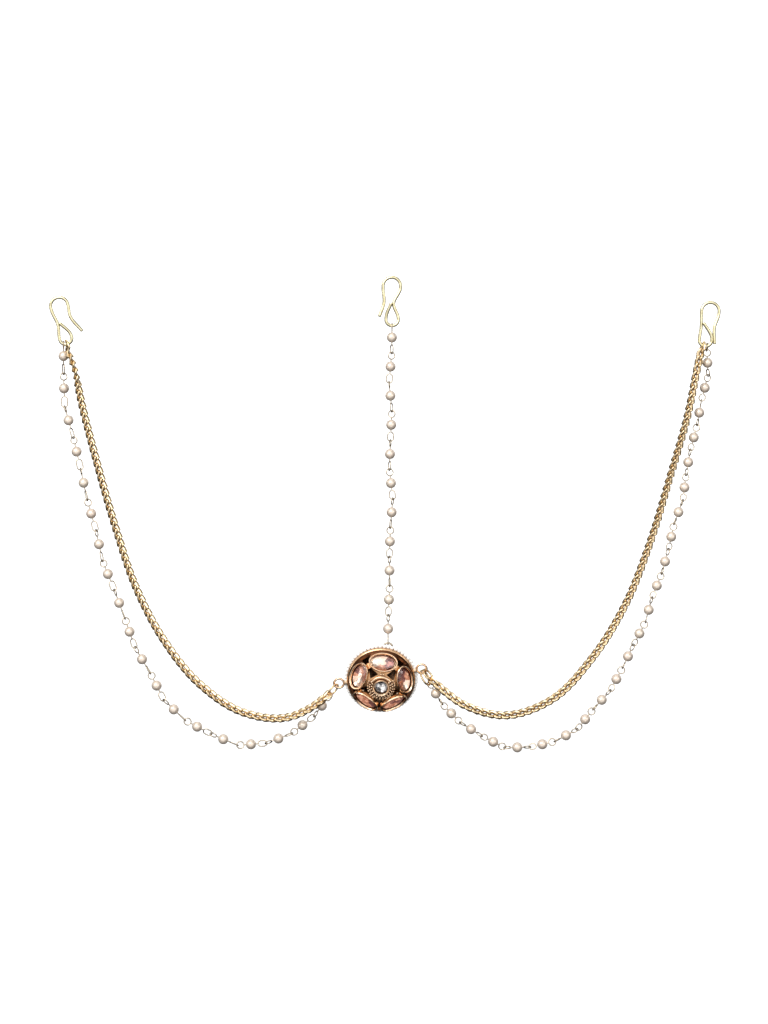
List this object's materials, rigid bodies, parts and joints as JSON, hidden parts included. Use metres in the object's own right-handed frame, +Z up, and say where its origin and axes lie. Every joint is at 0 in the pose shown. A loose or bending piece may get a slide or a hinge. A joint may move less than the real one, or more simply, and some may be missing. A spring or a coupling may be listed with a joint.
{
  "type": "matha patti head ornament",
  "caption": "Hanging head ornament: a domed openwork medallion with faceted oval stones, held by a pearl string at the crown and by a curb chain and a pearl string at each side.",
  "frame": {"origin": "underside of the crown hook's bend, the place where the jewel hangs from the hair", "axes": "+Z up, from the medallion to the crown hook; +X to the right in the picture, from the side hook with the shorter pearl string to the one with the longer; -Y towards the viewer"},
  "size_m": [0.2586, 0.0163, 0.1838],
  "materials": {
    "medallion_gold": "polished rose gold plate, darkened in the recesses",
    "hook_gold": "polished pale gold plate",
    "chain_gold": "polished warm gold plate",
    "pin_gold": "polished pale gold wire",
    "champagne_glass": "cut and foiled champagne pink glass",
    "clear_glass": "cut and foiled clear glass",
    "white_beads": "glossy white seed beads",
    "pearl": "cream pearl lustre"
  },
  "bodies": {
    "root": {"medallion_frame": "medallion_gold", "back_plate": "medallion_gold", "bead_edging": "white_beads", "centre_stone": "clear_glass", "oval_stone_1": "champagne_glass", "oval_stone_2": "champagne_glass", "oval_stone_3": "champagne_glass", "oval_stone_4": "champagne_glass", "oval_stone_5": "champagne_glass", "left_jump_ring": "chain_gold", "right_jump_ring": "chain_gold", "right_string_ring": "chain_gold", "right_top_ring": "pin_gold", "crown_hook": "hook_gold", "left_hook": "hook_gold", "right_hook": "hook_gold", "left_chain": "chain_gold", "right_chain": "chain_gold", "crown_pins": "pin_gold", "crown_pearls": "pearl", "left_pins": "pin_gold", "left_pearls": "pearl", "right_pins": "pin_gold", "right_pearls": "pearl"}
  },
  "joints": []
}
